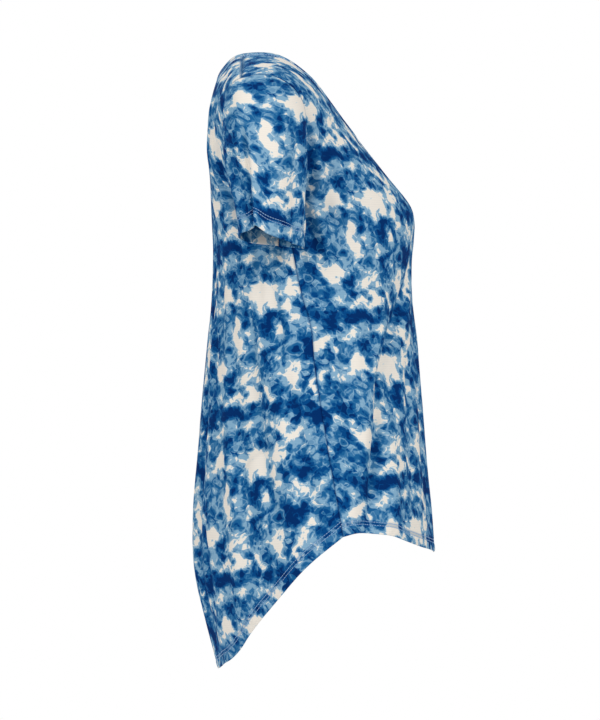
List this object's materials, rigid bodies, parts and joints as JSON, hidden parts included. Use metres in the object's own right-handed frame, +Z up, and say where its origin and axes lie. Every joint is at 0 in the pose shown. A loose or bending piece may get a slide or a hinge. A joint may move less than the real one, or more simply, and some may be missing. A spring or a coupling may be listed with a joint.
{
  "type": "t-shirt",
  "caption": "Short-sleeved jersey tee in its worn, hollow form, with a banded scoop neck and a curved hem that is longer behind, in a blue and cream dyed print.",
  "frame": {"origin": "midway between the two points where the shoulder seams meet the neckband, where the wearer's shoulders carry the tee", "axes": "+Z up, the wearer faces -Y, +X towards the wearer's left"},
  "size_m": [0.4932, 0.2889, 0.7296],
  "materials": {
    "jersey": "matte printed knit",
    "band": "matte printed knit"
  },
  "bodies": {
    "root": {"front": "jersey", "back": "jersey", "sleeve_right": "jersey", "sleeve_left": "jersey", "neckband": "band"}
  },
  "joints": []
}
